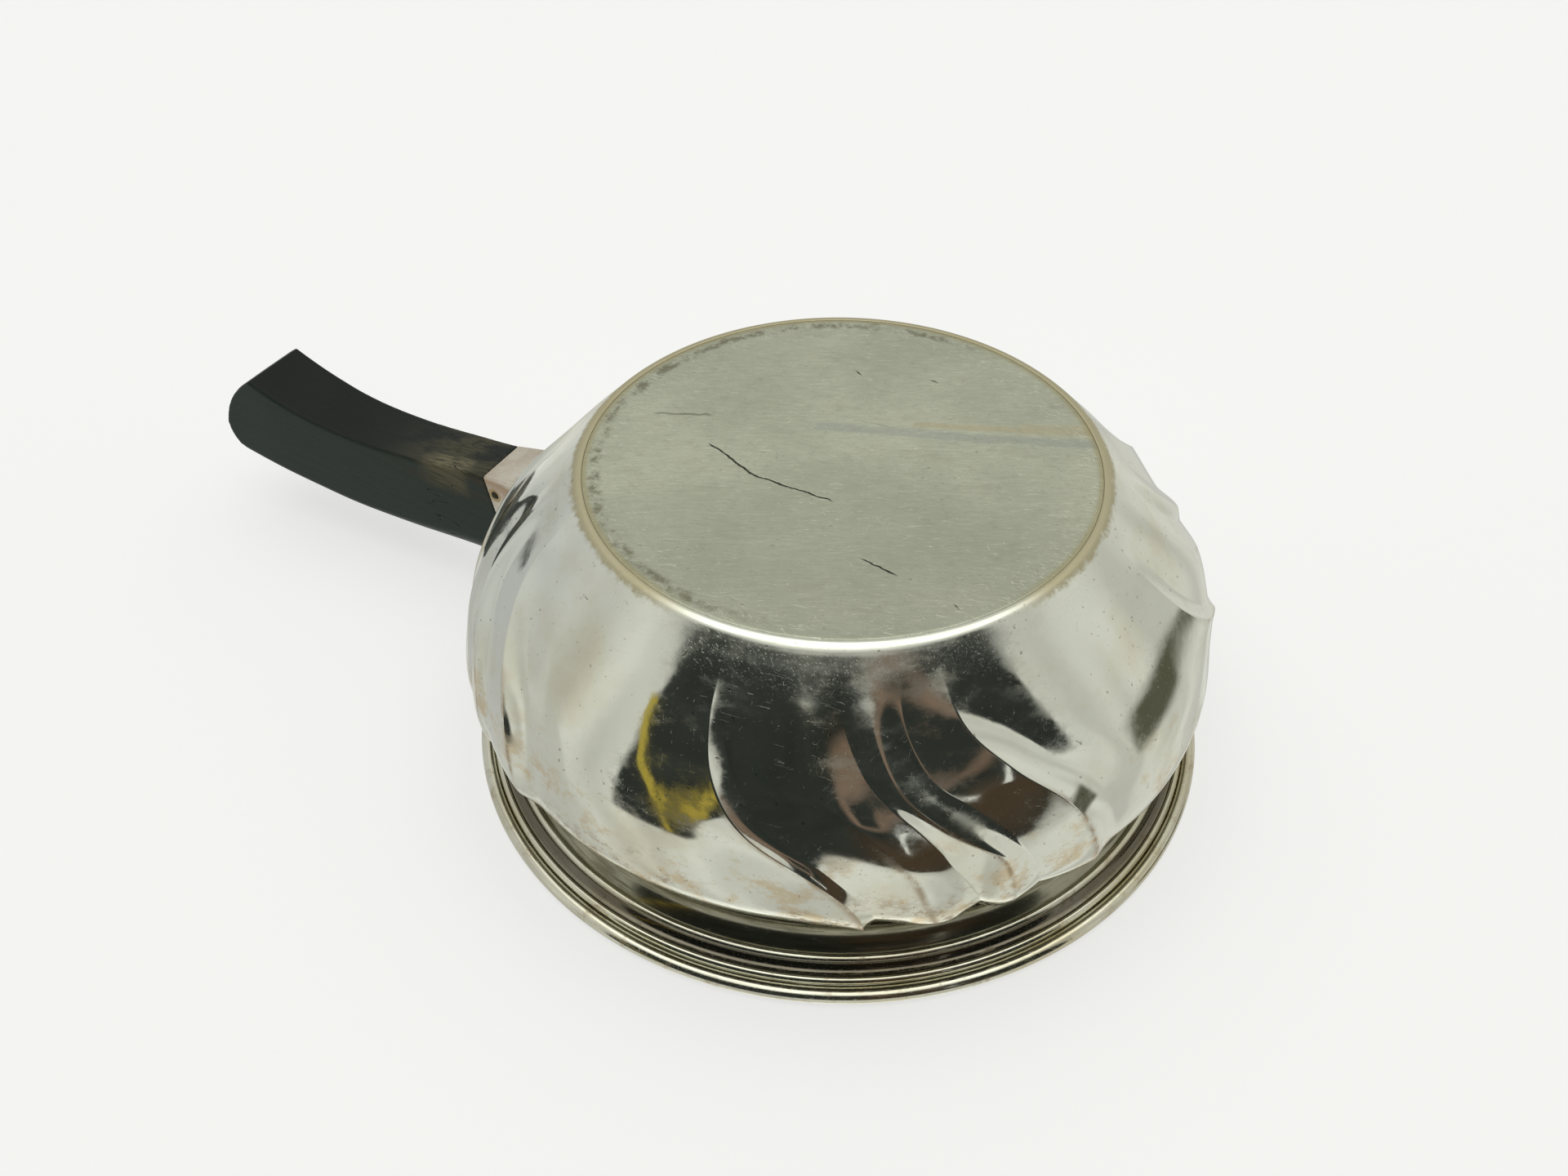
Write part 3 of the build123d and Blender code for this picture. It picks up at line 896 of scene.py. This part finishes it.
def ebonised(g):
    """Blackened wood, bare where it is rubbed beside the ferrule, with painted shade that makes
    the faces pointing down nearly black.
    """
    x, y, z = g.split(g.place())
    lie = (0, 8, 0)    # the grain follows the stick
    along = g.times(x, -1.0)
    grain = g.noise(g.place((0.05, 1.1, 1.1), lie), 1.0, 5.0, 0.6, 0.4)
    pores = g.spots((0.12, 3.2, 3.2), 3.0, 0.5, 0.60, 0.70, lie)
    facing_up = g.split(g.node("NewGeometry").outputs["Normal"])[2]
    # painted shade: the faces that point down
    below = g.fade(facing_up, -0.45, -0.85)
    patch = g.spots((0.09, 0.34, 0.34), 4.0, 0.6, 0.40, 0.56, lie, (4, 1, 2))
    lower = g.fade(z, 35.0, 31.0)
    rubbed = g.times(g.fade(along, 100.0, 82.0), lower, patch)
    ragged = g.total(y, (g.noise(g.place((0.2, 0.9, 0.9)), 1.0, 4.0, 0.7), 5.0))
    bare = g.times(
        g.fade(along, 90.0, 84.0), g.fade(along, 76.0, 79.0), g.fade(ragged, 3.6, 5.0), lower,
    )
    worn = g.most(rubbed, bare)
    streaks = g.spots((0.06, 1.6, 1.6), 4.0, 0.6, 0.45, 0.62, lie)
    cracks = g.times(
        g.scratches(16, 3.0, lie, 0.54, (3, 1, 7), 0.014), g.fade(along, 96.0, 84.0),
    )
    paint = g.coats(
        g.mix(grain, colour(0.018, 0.031, 0.025), colour(0.036, 0.055, 0.046)),
        # painted shade on the faces that point down
        (below, 0.9, colour(0.003, 0.005, 0.004)),
        (rubbed, 0.75, colour(0.070, 0.064, 0.038)),
        (bare, 0.85, colour(0.150, 0.135, 0.080)),
        (g.times(worn, streaks), 0.7, colour(0.020, 0.020, 0.014)),
        (cracks, 1.0, colour(0.003, 0.003, 0.003)),
    )
    height = g.total(0.0, (grain, 0.22), (pores, -0.22), (cracks, -1.6))
    rough = g.total(0.28, (grain, 0.12), (worn, 0.12))
    g.finish(paint, rough, height, 0.0, **{"Specular IOR Level": 0.16})


material("polished_wall", wall_silver, bowl)
material("worn_base", worn_silver, base)
material("aged_silver", aged_silver, roll, band)
material("stained_socket", socket_silver, socket, pin)
material("shaded_neck", neck_silver, neck)
material("ebonised_wood", ebonised, stick)


# ---------------------------------------------------------------- stage and light

FLOOR_REACH = 4.0       # metres, to each side
FLOOR_GAP = 0.0002
FLOOR_GLOW = 0.62
WHITE = colour(1, 1, 1)
DEGREES = 57.2958       # in a radian


def floor_paint(g):
    """Pale floor, seen from its upper side only."""
    pale = g.node("BsdfDiffuse", {"Color": colour(0.9, 0.9, 0.9)}).outputs[0]
    glow = g.node("Emission", {"Color": WHITE, "Strength": 1.0}).outputs[0]
    lit = g.node("MixShader", {0: FLOOR_GLOW, 1: pale, 2: glow}).outputs[0]
    clear = g.node("BsdfTransparent").outputs[0]
    behind = g.node("NewGeometry").outputs["Backfacing"]
    shown = g.node("MixShader", {0: behind, 1: lit, 2: clear}).outputs[0]
    g.put(g.node("OutputMaterial").inputs["Surface"], shown)


def floor(name, height, faces_down):
    """Floor for the vessel on its foot, or one facing down for the vessel on its rim."""
    corners = [
        (x * FLOOR_REACH, y * FLOOR_REACH, height) for x, y in ((-1, -1), (1, -1), (1, 1), (-1, 1))
    ]
    mesh = bpy.data.meshes.new(name)
    mesh.from_pydata(corners[::-1] if faces_down else corners, [], [(0, 1, 2, 3)])
    plane = bpy.data.objects.new(name, mesh)
    bpy.context.scene.collection.objects.link(plane)
    plane.visible_diffuse = False
    plane.visible_glossy = False
    plane.visible_transmission = False
    plane.visible_shadow = False
    return plane


material(
    "pale_floor", floor_paint, floor("floor_under_foot", -FLOOR_GAP, False),
    floor("floor_under_rim", CAD_BOX[1][2] + FLOOR_GAP, True),
)


def studio(g):
    """White tent with a dark opening towards the main camera. Heights are counted downwards
    from +Z here, because the vessel is shown turned over."""
    ray = g.vector("NORMALIZE", g.node("TexCoord").outputs["Generated"])
    rise = g.times(g.math("ARCSINE", g.times(g.split(ray)[2], -1.0)), DEGREES)
    front = g.vector("DOT_PRODUCT", ray, FRONT)
    side = g.vector("DOT_PRODUCT", ray, SIDE)
    around = g.times(g.math("ARCTAN2", side, front), DEGREES)

    def window(left, right, bottom, top, soft, lean=0.0):
        """Patch of the tent between these edges in degrees, soft-edged and leaning."""
        middle = g.math("SUBTRACT", around, g.times(rise, lean)) if lean else around
        return g.times(
            g.fade(middle, left - soft, left + soft), g.fade(middle, right + soft, right - soft),
            g.fade(rise, bottom - soft, bottom + soft), g.fade(rise, top + soft, top - soft),
        )

    tent = g.total(
        0.62, (g.noise(ray, 1.6, 3.0), 0.16), (g.fade(rise, 46.0, 62.0), 0.9),
        (g.fade(rise, -58.0, -80.0), 0.5),
    )
    folds = g.noise(g.join(g.times(around, 0.06), g.times(rise, 0.012), 0.0), 1.0, 1.0)
    tent = g.times(tent, g.fade(folds, 0.36, 0.64, 0.80, 1.06))
    dim = g.mix(g.noise(ray, 5.0, 3.0), colour(0.015, 0.018, 0.017), colour(0.045, 0.05, 0.044))
    light = g.coats(
        g.join(tent, tent, g.times(tent, 0.93)),
        (window(-150, -98, -40, 40, 14.0), 0.30, colour(0.40, 0.43, 0.50)),
        (window(-62.5, 60, -15, 43, 1.2), 1.0, dim),
        (window(9, 26, 20, 42, 3.0), 1.0, colour(0.22, 0.155, 0.115)),
        (window(13, 22.5, 22, 37, 1.5), 1.0, dim),
        (window(2, 40, -15, 10, 8.0), 0.8, colour(0.075, 0.05, 0.03)),
        (window(-52.5, -50.0, -14, 27, 0.5, -0.45), 1.0, colour(0.42, 0.33, 0.06)),
        (window(27.5, 29.0, 5, 24, 0.4), 1.0, colour(0.75, 0.75, 0.72)),
        (window(84, 108, -16, 0, 3.0), 1.0, colour(0.10, 0.10, 0.07)),
    )
    seen = g.mix(g.node("LightPath").outputs["Is Camera Ray"], light, WHITE)
    background = g.node("Background", {"Color": seen, "Strength": 1.0}).outputs[0]
    g.put(g.node("OutputWorld").inputs["Surface"], background)


world = bpy.data.worlds.new("studio")
bpy.context.scene.world = world
world.use_nodes = True
studio(Graph(world.node_tree))
bpy.context.scene.view_settings.view_transform = "Standard"
